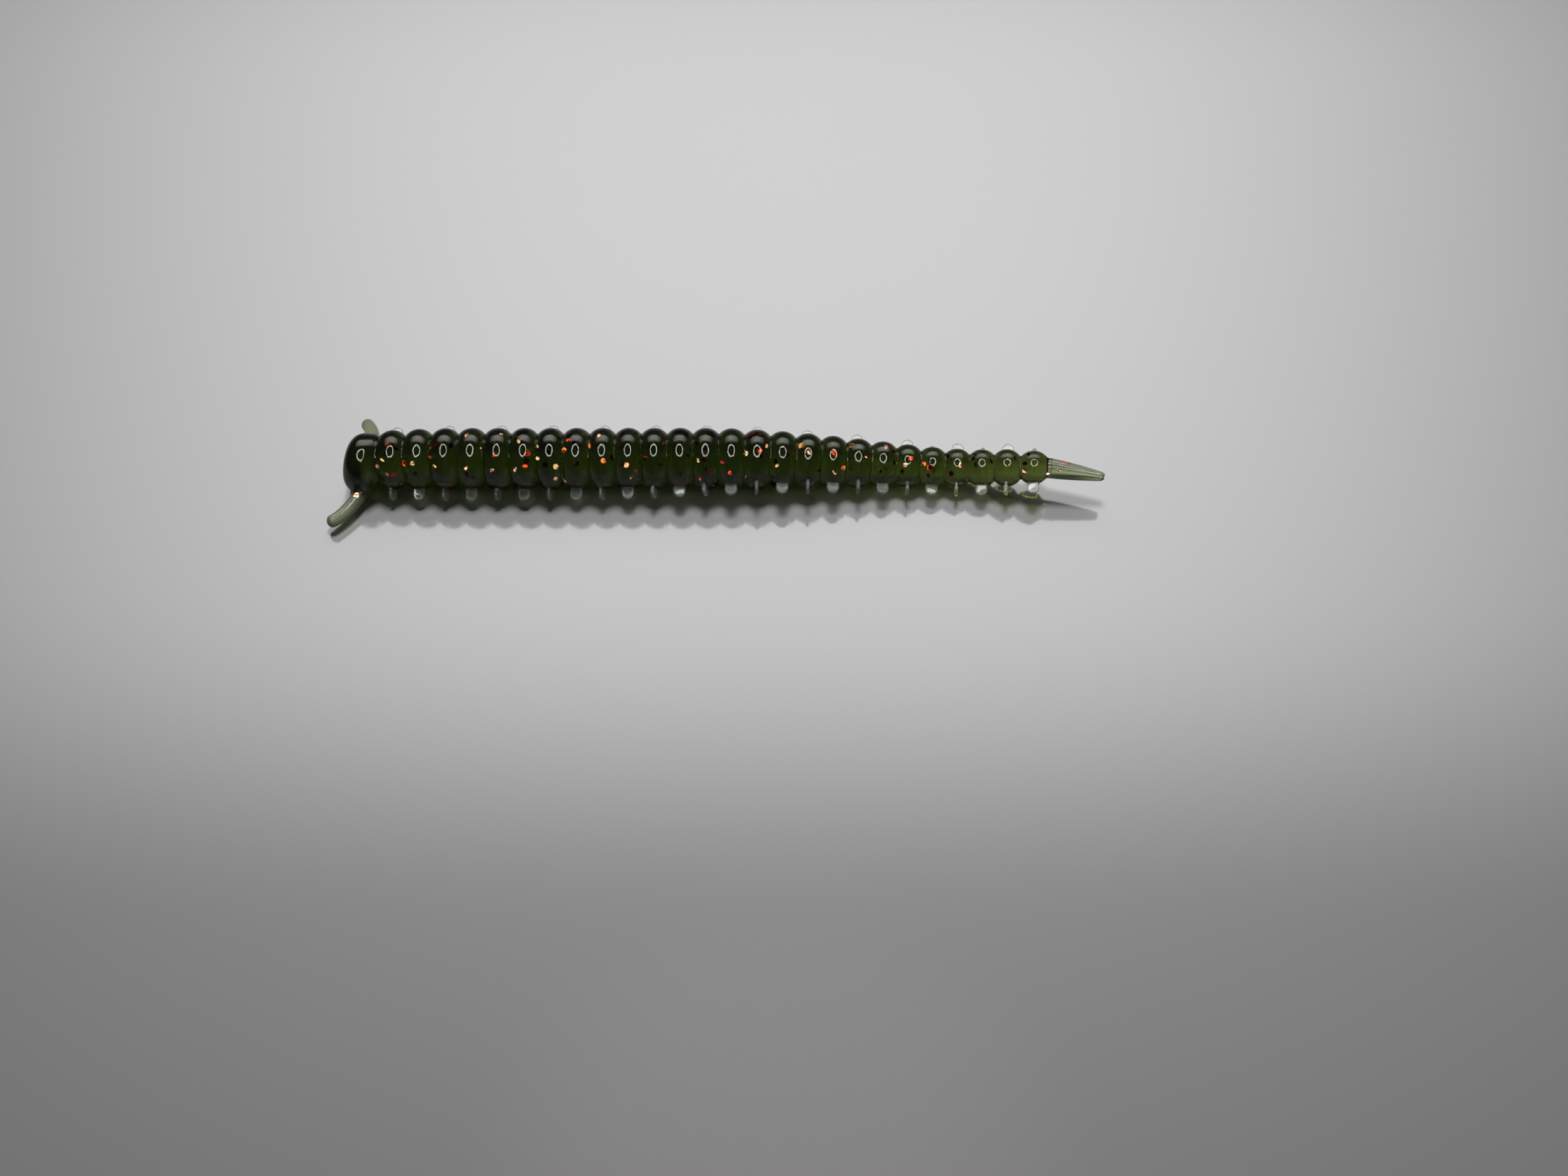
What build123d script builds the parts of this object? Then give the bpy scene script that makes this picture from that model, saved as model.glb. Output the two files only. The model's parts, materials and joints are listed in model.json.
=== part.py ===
from build123d import *
import math
import os

# Ringed soft plastic worm, lying on a table.
# The origin is the centre of the flat nose face. +X runs along the body to the tail, +Z is up.
# The worm's head looks towards -X, so its left side is -Y. All sizes are in millimetres.

# ---- driving dimensions ----
RING_COUNT = 27              # body beads, the head included
LAST = RING_COUNT

HEAD_LENGTH = 3.63           # nose face to the first groove
HEAD_RADIUS = 2.92
NOSE_EDGE_RADIUS = 1.65      # rounding from the flat nose face to the head's side
HEAD_FLAT_LENGTH = 0.30      # straight stretch over the head's crest
BODY_RADIUS = 3.16           # over the ring crests
SHOULDER_RING = 5            # the body reaches its full radius here
TAPER_START_RING = 14        # the body starts to narrow here
TAPER_END_RING = 26
REAR_RADIUS = 1.88           # ring 26
LAST_RADIUS = 1.71           # ring 27, almost a ball

FRONT_PITCH = 2.66           # length of ring 2
REAR_PITCH = 2.46            # length of ring 26
LAST_HALF_LENGTH = 1.40      # ring 27: groove to crest, and crest to its flat rear face
CREST_ARC_RADIUS = 1.65      # radius of every ring's crest, seen from the side

BELLY_SINK = 0.12            # the soft body is pressed flat on the table by this much
REAR_LIFT = 1.50             # ring 27 is lifted off the table by this much
LIFT_START_RING = 22
REAR_SWEEP = 1.15            # ring 27 is bent to the left by this much
SWEEP_START_RING = 20

HINGE_GAP = 0.06             # between two rings, on the body's axis
HINGE_RELIEF_DEG = 5.8       # cone angle of each ring's end, more than half the bend at a groove

FIN_WIDTH = 1.20
FIN_THICKNESS = 0.36
FIN_REACH = 1.15             # how far a fin stands out of its ring
FIN_ROOT_DEPTH = 0.80        # how far it starts below the crest, before it is cut to the ring
RIGHT_FLAT_FIN_RISE_DEG = 2.0    # right fins that lie along the body
RIGHT_UPRIGHT_FIN_RISE_DEG = -12.0   # right fins that stand across it
FIN_DROOP_MEAN_DEG = 14.0    # the left fins hang down, more at the front than in the middle
FIN_DROOP_SWING_DEG = 12.0
FIN_DROOP_PEAK_RING = 6
FIN_DROOP_REAR_RING = 24

ANTENNA_BALL_RADIUS = 0.80
ANTENNA_SOCKET_RADIUS = 0.90
ANTENNA_ROOT_RADIUS = 0.68
ANTENNA_TIP_RADIUS = 0.52
ANTENNA_TIP_ROUNDING = 0.46
ANTENNA_STATIONS = 5

TAIL_BALL_RADIUS = 1.02
TAIL_SOCKET_RADIUS = 1.12
TAIL_SLOT = 0.12             # gap between the two prongs at their root
TAIL_ROOT_WIDTH = 1.50
TAIL_ROOT_HEIGHT = 0.88      # of one prong
TAIL_TIP_WIDTH = 0.50
TAIL_TIP_HEIGHT = 0.34
TAIL_TIP = (76.0, -2.35)     # x and y of the prongs' tips
TAIL_TIP_HEIGHT_OVER_TABLE = 3.05
TAIL_TIP_SPACING = 0.44      # centre to centre
TAIL_TIP_ROUNDING = 0.30     # length over which each tip draws in to its blunt end


# ---- the worm's lengthwise shape ----
def smooth(t):
    """Goes from 0 to 1 with no slope at either end."""
    t = min(max(t, 0.0), 1.0)
    return t * t * (3.0 - 2.0 * t)


def ring_radius(ring):
    """Crest radius of a ring; ring 1 is the head."""
    if ring < SHOULDER_RING:
        share = (SHOULDER_RING - ring) / (SHOULDER_RING - 1)
        return BODY_RADIUS - (BODY_RADIUS - HEAD_RADIUS) * share**2
    if ring == LAST:
        return LAST_RADIUS
    share = (ring - TAPER_START_RING) / (TAPER_END_RING - TAPER_START_RING)
    return BODY_RADIUS - (BODY_RADIUS - REAR_RADIUS) * smooth(share)


def ring_pitch(ring):
    """Length of a ring from groove to groove."""
    share = (ring - 2) / (TAPER_END_RING - 2)
    return FRONT_PITCH + (REAR_PITCH - FRONT_PITCH) * share


def crest_height(ring):
    """Height of a ring's centre over the table."""
    lift = REAR_LIFT * (max(ring - LIFT_START_RING, 0) / (LAST - LIFT_START_RING)) ** 2
    return ring_radius(ring) - BELLY_SINK + lift


def ring_sweep(ring):
    """Sideways place of a ring's centre."""
    share = max(ring - SWEEP_START_RING, 0) / (LAST - SWEEP_START_RING)
    return -REAR_SWEEP * share**2


def groove_x(ring):
    """X of the groove behind a ring; ring 0 gives the nose face."""
    if ring == 0:
        return 0.0
    return HEAD_LENGTH + sum(ring_pitch(n) for n in range(2, ring + 1))


NOSE_HEIGHT = 0.5 * (crest_height(1) + crest_height(2))
TABLE_Z = -NOSE_HEIGHT


def groove_point(ring):
    """Point of the body's axis at the groove behind a ring, where the body bends."""
    if ring == 0:
        return Vector(0, 0, 0)
    height = 0.5 * (crest_height(ring) + crest_height(ring + 1))
    sweep = 0.5 * (ring_sweep(ring) + ring_sweep(ring + 1))
    return Vector(groove_x(ring), sweep, height - NOSE_HEIGHT)


def last_centre():
    x = groove_x(LAST - 1) + LAST_HALF_LENGTH
    return Vector(x, ring_sweep(LAST), crest_height(LAST) - NOSE_HEIGHT)


def ring_frame(ring):
    """Plane with its origin at the groove in front of a ring, its x along the ring's axis."""
    start = groove_point(ring - 1)
    end = last_centre() if ring == LAST else groove_point(ring)
    along = (end - start).normalized()
    side = Vector(0, 0, 1).cross(along).normalized()
    return Plane(origin=start, x_dir=along, z_dir=-side)


def ring_length(ring):
    """Length of a ring along its own axis."""
    if ring == LAST:
        return 2.0 * LAST_HALF_LENGTH
    return (groove_point(ring) - groove_point(ring - 1)).length


def groove_radius(ring):
    """Radius of the neck behind a ring."""
    mean_radius = 0.5 * (ring_radius(ring) + ring_radius(ring + 1))
    half = 0.5 * ring_length(max(ring, 2))
    return mean_radius - CREST_ARC_RADIUS + math.sqrt(CREST_ARC_RADIUS**2 - half**2)


# ---- rings ----
def relief(radius):
    """How far a ring's coned end stands back from the hinge plane at a radius."""
    return 0.5 * HINGE_GAP + radius * math.tan(math.radians(HINGE_RELIEF_DEG))


def make_ring(ring):
    """One bead: a round crest between two coned ends, flat where it rests on the table."""
    frame = ring_frame(ring)
    length = ring_length(ring)
    front_radius = groove_radius(ring - 1)
    rear_radius = groove_radius(ring) if ring < LAST else front_radius
    crest = (0.5 * length, ring_radius(ring))
    front_rim = (relief(front_radius), front_radius)
    front_axis = (relief(0), 0)
    rear_relief = relief(rear_radius) if ring < LAST else 0.0
    rear_rim = (length - rear_relief, rear_radius)
    rear_axis = (length - (relief(0) if ring < LAST else 0.0), 0)
    with BuildPart() as bead:
        with BuildSketch(frame):
            with BuildLine():
                Line(front_axis, front_rim)
                ThreePointArc(front_rim, crest, rear_rim)
                Line(rear_rim, rear_axis)
                Line(rear_axis, front_axis)
            make_face()
        revolve(axis=Axis(frame.origin, frame.x_dir))
        split(bisect_by=Plane.XY.offset(TABLE_Z), keep=Keep.TOP)
        if ring == LAST:
            with Locations(tail_root()):
                Sphere(TAIL_SOCKET_RADIUS, mode=Mode.SUBTRACT)
    return bead


def make_head():
    """The blunt first bead, with a ball socket at the root of each antenna."""
    face_rim = (0, HEAD_RADIUS - NOSE_EDGE_RADIUS)
    crest_start = (NOSE_EDGE_RADIUS, HEAD_RADIUS)
    crest_end = (NOSE_EDGE_RADIUS + HEAD_FLAT_LENGTH, HEAD_RADIUS)
    rear_rim = (HEAD_LENGTH - relief(groove_radius(1)), groove_radius(1))
    rear_axis = (HEAD_LENGTH - relief(0), 0)
    with BuildPart() as bead:
        with BuildSketch(Plane.XZ):
            with BuildLine():
                Line((0, 0), face_rim)
                TangentArc(face_rim, crest_start, tangent=(0, 1))
                Line(crest_start, crest_end)
                TangentArc(crest_end, rear_rim, tangent=(1, 0))
                Line(rear_rim, rear_axis)
                Line(rear_axis, (0, 0))
            make_face()
        revolve(axis=Axis.X)
        split(bisect_by=Plane.XY.offset(TABLE_Z), keep=Keep.TOP)
        for path in ANTENNA_PATHS.values():
            with Locations(path[0]):
                Sphere(ANTENNA_SOCKET_RADIUS, mode=Mode.SUBTRACT)
    return bead


# ---- fins ----
def left_fin_droop(ring):
    """Angle of a left fin below the horizontal; the soft body is slightly twisted."""
    place = min(max(ring, FIN_DROOP_PEAK_RING), FIN_DROOP_REAR_RING)
    turn = math.pi * (place - FIN_DROOP_PEAK_RING) / 12.0
    return FIN_DROOP_MEAN_DEG + FIN_DROOP_SWING_DEG * math.cos(turn)


def fin_plane(ring, side):
    """Plane of a fin's outline: x points out of the body. side is -1 on the left, +1 on the right.

    Left fins lie along the body on odd rings and stand across it on even rings. On the right
    it is the other way round.
    """
    frame = ring_frame(ring)
    middle = frame.origin + frame.x_dir * (0.5 * ring_length(ring))
    lies_flat = (ring % 2 == 1) == (side < 0)
    right_rise = RIGHT_FLAT_FIN_RISE_DEG if lies_flat else RIGHT_UPRIGHT_FIN_RISE_DEG
    rise_deg = right_rise if side > 0 else -left_fin_droop(ring)
    level = -frame.z_dir * side
    up = frame.x_dir.cross(level) * side
    rise = math.radians(rise_deg)
    outward = level * math.cos(rise) + up * math.sin(rise)
    across = outward.cross(frame.x_dir) if lies_flat else frame.x_dir
    return Plane(origin=middle, x_dir=outward, z_dir=across)


def make_fins(ring, bead):
    """The two rounded side tabs of a ring, cut to its surface."""
    reach = ring_radius(ring) + FIN_REACH
    start = ring_radius(ring) - FIN_ROOT_DEPTH
    end_centre = reach - 0.5 * FIN_WIDTH
    with BuildPart() as fins:
        for side in (-1, 1):
            with BuildSketch(fin_plane(ring, side)):
                with Locations((0.5 * (start + end_centre), 0)):
                    Rectangle(end_centre - start, FIN_WIDTH)
                with Locations((end_centre, 0)):
                    Circle(0.5 * FIN_WIDTH)
            extrude(amount=0.5 * FIN_THICKNESS, both=True)
        add(bead.part, mode=Mode.SUBTRACT)
    return fins


# ---- antennae ----
# Root, middle and tip of each antenna's centre line. Each root lies just under the head's surface.
# Both bend forward, the left one further.
ANTENNA_PATHS = {
    "antenna_left": [(2.10, -2.38, -1.42), (0.62, -5.10, -1.72), (-1.03, -6.85, -1.55)],
    "antenna_right": [(2.55, 2.68, 0.28), (2.19, 4.15, -0.02), (1.40, 5.43, -0.38)],
}


def make_antenna(path):
    """A round finger that narrows to a rounded tip, with a ball at its root."""
    centre_line = ThreePointArc(*path)
    with BuildPart() as antenna:
        for station in range(ANTENNA_STATIONS):
            share = station / (ANTENNA_STATIONS - 1)
            radius = ANTENNA_ROOT_RADIUS + (ANTENNA_TIP_RADIUS - ANTENNA_ROOT_RADIUS) * share
            station_plane = Plane(
                origin=centre_line @ share, x_dir=(0, 0, 1), z_dir=centre_line % share
            )
            with BuildSketch(station_plane):
                Circle(radius)
        loft()
        tip_face = antenna.faces().filter_by(GeomType.PLANE).sort_by_distance(path[2])[0]
        fillet(tip_face.edges(), ANTENNA_TIP_ROUNDING)
        with Locations(path[0]):
            Sphere(ANTENNA_BALL_RADIUS)
    return antenna


# ---- forked tail ----
def tail_root():
    """Centre of the tail's root, just inside the last ring's rear face."""
    frame = ring_frame(LAST)
    return frame.origin + frame.x_dir * (ring_length(LAST) - 0.12)


def tail_frame():
    """Plane at the tail's root whose normal points to the tips and whose y is up."""
    tip = Vector(TAIL_TIP[0], TAIL_TIP[1], TABLE_Z + TAIL_TIP_HEIGHT_OVER_TABLE)
    along = (tip - tail_root()).normalized()
    side = along.cross(Vector(0, 0, 1)).normalized()
    return Plane(origin=tail_root(), x_dir=-side, z_dir=along)


def tail_length():
    tip = Vector(TAIL_TIP[0], TAIL_TIP[1], TABLE_Z + TAIL_TIP_HEIGHT_OVER_TABLE)
    return (tip - tail_root()).length


def make_prong(level):
    """One prong of the tail; level is +1 for the upper and -1 for the lower."""
    root = tail_frame()
    root_height = 0.5 * (TAIL_ROOT_HEIGHT + TAIL_SLOT) * level
    tip_height = 0.5 * TAIL_TIP_SPACING * level
    sections = [
        (0.0, root_height, TAIL_ROOT_WIDTH, TAIL_ROOT_HEIGHT),
        (tail_length() - TAIL_TIP_ROUNDING, tip_height, TAIL_TIP_WIDTH, TAIL_TIP_HEIGHT),
        (tail_length(), tip_height, 0.5 * TAIL_TIP_WIDTH, 0.5 * TAIL_TIP_HEIGHT),
    ]
    slot_face = Plane(origin=root.origin, x_dir=root.z_dir, z_dir=root.y_dir * level)
    with BuildPart() as prong:
        for distance, height, width, thickness in sections:
            with BuildSketch(root.offset(distance)):
                with Locations((0, height)):
                    Ellipse(0.5 * width, 0.5 * thickness)
        loft(ruled=True)
        with Locations(root.origin):
            Sphere(TAIL_BALL_RADIUS)
        split(bisect_by=slot_face.offset(0.5 * TAIL_SLOT), keep=Keep.TOP)
    return prong


# ---- build and write every piece ----
def write(piece, name):
    piece.part.label = name
    export_step(piece.part, f"parts/{name}.step")


def main():
    os.makedirs("parts", exist_ok=True)
    write(make_head(), "head")
    for ring in range(2, RING_COUNT + 1):
        bead = make_ring(ring)
        write(bead, f"ring_{ring:02d}")
        write(make_fins(ring, bead), f"fins_{ring:02d}")
    for name, path in ANTENNA_PATHS.items():
        write(make_antenna(path), name)
    write(make_prong(1), "tail_upper")
    write(make_prong(-1), "tail_lower")


main()
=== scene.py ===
import json
import math
import random

import bmesh
import bpy
from mathutils import Matrix, Vector, noise

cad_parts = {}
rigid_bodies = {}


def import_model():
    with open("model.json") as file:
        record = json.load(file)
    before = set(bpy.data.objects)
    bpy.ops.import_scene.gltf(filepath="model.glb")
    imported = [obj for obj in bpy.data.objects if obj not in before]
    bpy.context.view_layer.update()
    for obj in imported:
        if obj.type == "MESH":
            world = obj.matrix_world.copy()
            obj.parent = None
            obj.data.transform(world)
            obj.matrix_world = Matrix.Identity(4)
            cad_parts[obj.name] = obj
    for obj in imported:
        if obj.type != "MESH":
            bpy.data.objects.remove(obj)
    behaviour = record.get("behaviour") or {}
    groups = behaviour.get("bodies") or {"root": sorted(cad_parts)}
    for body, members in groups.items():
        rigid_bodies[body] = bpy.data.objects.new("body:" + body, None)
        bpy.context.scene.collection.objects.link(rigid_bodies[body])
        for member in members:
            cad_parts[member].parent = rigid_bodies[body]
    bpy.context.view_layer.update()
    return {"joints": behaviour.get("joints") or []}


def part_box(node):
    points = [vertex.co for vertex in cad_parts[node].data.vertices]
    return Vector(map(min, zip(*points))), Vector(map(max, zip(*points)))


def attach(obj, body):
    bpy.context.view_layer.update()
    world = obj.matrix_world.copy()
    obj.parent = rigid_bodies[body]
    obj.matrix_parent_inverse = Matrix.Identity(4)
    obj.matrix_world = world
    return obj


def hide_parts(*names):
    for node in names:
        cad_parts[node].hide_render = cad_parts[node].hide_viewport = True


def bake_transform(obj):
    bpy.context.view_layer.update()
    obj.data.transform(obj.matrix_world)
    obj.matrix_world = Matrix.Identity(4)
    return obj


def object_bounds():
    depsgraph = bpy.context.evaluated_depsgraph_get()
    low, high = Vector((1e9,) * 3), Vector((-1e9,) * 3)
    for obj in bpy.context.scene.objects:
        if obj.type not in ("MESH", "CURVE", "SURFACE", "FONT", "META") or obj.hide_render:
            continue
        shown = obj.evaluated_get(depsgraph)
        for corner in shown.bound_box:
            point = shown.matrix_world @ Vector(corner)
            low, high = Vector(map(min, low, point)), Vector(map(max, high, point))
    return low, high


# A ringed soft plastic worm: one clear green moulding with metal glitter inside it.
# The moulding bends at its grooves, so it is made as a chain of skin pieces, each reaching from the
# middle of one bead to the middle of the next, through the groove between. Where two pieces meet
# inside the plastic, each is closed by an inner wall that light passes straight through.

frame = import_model()

MM = 0.001
UP = Vector((0, 0, 1))
HIGH_RIGHT = Vector((0, 0.79, 0.61))    # up in the picture, across the worm
rng = random.Random(27)

# ---- sizes, in millimetres unless a name says otherwise ----
LAST = 27                    # the beads are numbered from the head, which is 1
CREST_CURVE = 1.65           # radius of a bead's crest, seen from the side
GROOVE_ROUNDING = 0.16
NOSE_START = 0.25
NOSE_EDGE_RADIUS = 1.75
NOSE_FACE_SHARES = (0.15, 0.4, 0.65, 0.85, 0.95)     # radii of the circles on the nose's face
NOSE_TURN_DEG = 9.0          # the nose points a little up and to the right
HEAD_FULLNESS = 0.18         # the head is fuller than a bead, low on its left
HEAD_CREST = 2.10            # place of the head's widest section
HEAD_REAR_SLOPE = 0.528      # the head narrows behind its crest, at last by this slope
HEAD_REAR_TURN = 0.87        # and takes about this length to reach it
HEAD_END = 3.28              # the first bending piece starts here
LAST_CREST_SHARE = 1.40 / 2.68   # place of the last crest between its groove and the tail's root

SECTION_POINTS = 96
STATIONS_PER_HALF = 10
FIRST_STEP = 0.008           # first step off a crest, which hides the seam there
WALL_GAP = 0.003             # two inner walls never touch

WAVINESS = 0.004             # the moulded surface isn't quite even
WAVE_LENGTH = 1.2
BELLY_ROUNDING = 0.06

FIN_WIDTH = 1.20
FIN_THICKNESS = 0.36
FIN_REACH = 1.15             # beyond the bead's crest
FIN_ROOT_DEPTH = 0.35        # how deep a fin is sunk in its bead
FIN_EDGE_RADIUS = 0.15
RIGHT_FLAT_FIN_RISE_DEG = 2.0
RIGHT_UPRIGHT_FIN_RISE_DEG = -12.0
FRONT_FIN_TURN_DEG = 18.0    # the upright left fins near the head are turned about their own axis
FRONT_FIN_RINGS = 14
CLEAR_SHADOW_RING = 9        # from this ring back the fins' shadows are pale
FIN_DROOP_MEAN_DEG = 14.0
FIN_DROOP_SWING_DEG = 12.0
FIN_DROOP_PEAK_RING = 6
FIN_DROOP_REAR_RING = 24

ANTENNA_ROOT_RADIUS = 0.76
ANTENNA_TIP_RADIUS = 0.62
ANTENNA_FLARE = 0.10
ANTENNA_FLARE_LENGTH = 0.30
ANTENNA_SINK = 0.30          # its skin starts this deep in the head
ANTENNA_HIDDEN = 0.02        # and isn't seen more than this below the head's skin
ANTENNA_SECTION_POINTS = 48
# Middle and tip of each antenna's centre line; its root is its joint.
ANTENNA_POINTS = {
    "left": ((0.62, -5.10, -1.72), (-1.03, -6.85, -1.55)),
    "right": ((2.19, 4.15, -0.02), (1.40, 5.43, -0.38)),
}

TAIL_STUB = 0.47             # the fork starts this far behind the tail's root
TAIL_ROOT_HALF = (1.00, 1.02)    # half width and half height where it leaves the last bead
TAIL_TIP_HALF = (0.28, 0.46)
TAIL_SLOT_HALF = 0.05
TAIL_TIP_BELLY = 0.17
TAIL_TIP_ROUNDING = 0.40
TAIL_TAPER_POWERS = (1.25, 1.5)      # how late its width and its height taper off
TAIL_SLOT_OPENS = 0.3        # the slot has its full width at this share of the length
TAIL_TIP = (76.0, -2.35, 0.20)
TAIL_LENGTH = 5.8            # of the prongs, for placing the flakes
TAIL_STUB_GROWTH = 1.0       # the tail's root swells out of the last bead over this length
TAIL_STUB_FILLET = 0.25
TAIL_STUB_ALONE = (1.2, 0.4)     # from here behind the crest, and over this length, it takes over

GLITTER_SIZE = 0.62          # across the corners of a flake
GLITTER_THICKNESS = 0.02
GLITTER_PER_BEAD = 9
PLASTIC_IOR = 1.46

# Surface detail. The noise scales are per metre, and the bump depths are in metres.
GRAIN_SCALE = 2600.0         # the moulded skin's faint grain
GRAIN_DETAIL = 3.0
GRAIN_SHINE = (0.5, 1.6)     # least and most roughness, as shares of the plastic's own
GRAIN_STRENGTH = 0.05
GRAIN_DEPTH = 0.00001
CREASE_SCALE = 2200.0        # the foil's creases
# share of the foil's colour left in its creases: painted shade
CREASE_PAINTED_SHADE = 0.75
CREASE_SHINE = (0.6, 1.4)
CREASE_DEPTH = 0.00005
FOIL_ROUGHNESS = 0.16


def mm(*place):
    return Vector(place) * MM


def smooth(t):
    t = min(max(t, 0.0), 1.0)
    return t * t * (3.0 - 2.0 * t)


def soft_max(a, b, width):
    """The larger of two numbers, with the corner between them rounded."""
    near = max(width - abs(a - b), 0.0) / width
    return max(a, b) + near * near * width / 4.0


# ---- the body's line, read from the frame ----
joint_at = {joint["name"]: Vector(joint["pos_m"]) for joint in frame["joints"]}
grooves = {int(name[5:7]): at for name, at in joint_at.items() if name.startswith("bend_")}
tail_root = joint_at["tail_upper_flex"]
table_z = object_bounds()[0].z


def body_name(ring):
    return "head" if ring == 1 else f"ring_{ring:02d}"


def crest_centre(ring):
    if ring == 1:
        return mm(HEAD_CREST, 0, 0)
    if ring == LAST:
        return grooves[LAST - 1].lerp(tail_root, LAST_CREST_SHARE)
    return (grooves[ring - 1] + grooves[ring]) / 2


def measure_crest(ring):
    low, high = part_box(body_name(ring))
    return high.z if ring == 1 else (high.y - low.y) / 2


crest_sizes = {ring: measure_crest(ring) for ring in range(1, LAST + 1)}


def crest_radius(ring):
    return crest_sizes[ring]


def bead_axis(ring):
    if ring == 1:
        return Vector((1, 0, 0))
    end = tail_root if ring == LAST else grooves[ring]
    return (end - grooves[ring - 1]).normalized()


def bead_radius(ring, away):
    """Radius of a bead at a distance from its crest, behind it on the head."""
    if ring == 1:
        turn = HEAD_REAR_TURN * MM
        return crest_radius(ring) - HEAD_REAR_SLOPE * (math.hypot(turn, away) - turn)
    curve = CREST_CURVE * MM
    return crest_radius(ring) - curve + math.sqrt(max(curve**2 - away**2, 0.0))


def bend_radius(ring, point):
    """Radius of the skin at a point of the axis between a bead's crest and the next one's."""
    front = bead_radius(ring, (point - crest_centre(ring)).length)
    rear = bead_radius(ring + 1, (point - crest_centre(ring + 1)).length)
    return soft_max(front, rear, GROOVE_ROUNDING * MM)


def curve_point(start, middle, end, t):
    return start * (1 - t) ** 2 + middle * (2 * t * (1 - t)) + end * t**2


def curve_direction(start, middle, end, t):
    return ((middle - start) * (1 - t) + (end - middle) * t).normalized()


# ---- meshes ----
def across(along):
    """The sideways and the upward direction of a section whose normal is along."""
    side = UP.cross(along).normalized()
    return side, along.cross(side)


def settle(point, outward):
    """Gives a point of the skin its slight waviness and rests it on the table."""
    wave = noise.noise(point / (WAVE_LENGTH * MM)) * WAVINESS * MM
    point = point + outward * wave
    point.z = soft_max(point.z, table_z, BELLY_ROUNDING * MM)
    return point


def section(centre, along, radius, count=SECTION_POINTS):
    """Points around the axis. radius is a number or gives the radius at an angle."""
    side, up = across(along)
    points = []
    for step in range(count):
        angle = 2 * math.pi * step / count
        outward = side * math.cos(angle) + up * math.sin(angle)
        reach = radius(angle) if callable(radius) else radius
        points.append(settle(centre + outward * reach, outward))
    return points


def link(name, bm, material):
    bmesh.ops.recalc_face_normals(bm, faces=bm.faces)
    mesh = bpy.data.meshes.new(name)
    bm.to_mesh(mesh)
    bm.free()
    piece = bpy.data.objects.new(name, mesh)
    bpy.context.scene.collection.objects.link(piece)
    mesh.materials.append(material)
    return piece


def skin(name, sections, material, tips=(None, None), hidden=None):
    """A closed skin through sections of points.

    An end is closed by the tip given for it, or by an inner wall. hidden says which points of the
    sides are inside another piece, where the plastic has no surface either.
    """
    bm = bmesh.new()
    inner = bm.faces.layers.float.new("inner_wall")
    rings = [[bm.verts.new(point) for point in points] for points in sections]
    count = len(rings[0])
    for front, rear in zip(rings, rings[1:]):
        for i in range(count):
            j = (i + 1) % count
            face = bm.faces.new((front[i], rear[i], rear[j], front[j]))
            if hidden and all(hidden(vert.co) for vert in face.verts):
                face[inner] = 1.0
    for ring, tip in zip((rings[0], rings[-1]), tips):
        if tip is None:
            wall = bm.faces.new(ring)
            wall[inner] = 1.0
            for edge in wall.edges:
                edge.smooth = False
        else:
            pole = bm.verts.new(tip)
            for i in range(count):
                bm.faces.new((ring[i], ring[(i + 1) % count], pole))
    for face in bm.faces:
        face.smooth = True
    return link(name, bm, material)


def crest_to_groove():
    """Shares of the way from a crest to a groove, close together at both ends."""
    steps = range(1, STATIONS_PER_HALF + 1)
    return [0.5 * (1 - math.cos(math.pi * step / STATIONS_PER_HALF)) for step in steps]


# ---- materials ----
def link_nodes(tree, *pairs):
    for start, end in pairs:
        tree.links.new(start, end)


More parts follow.
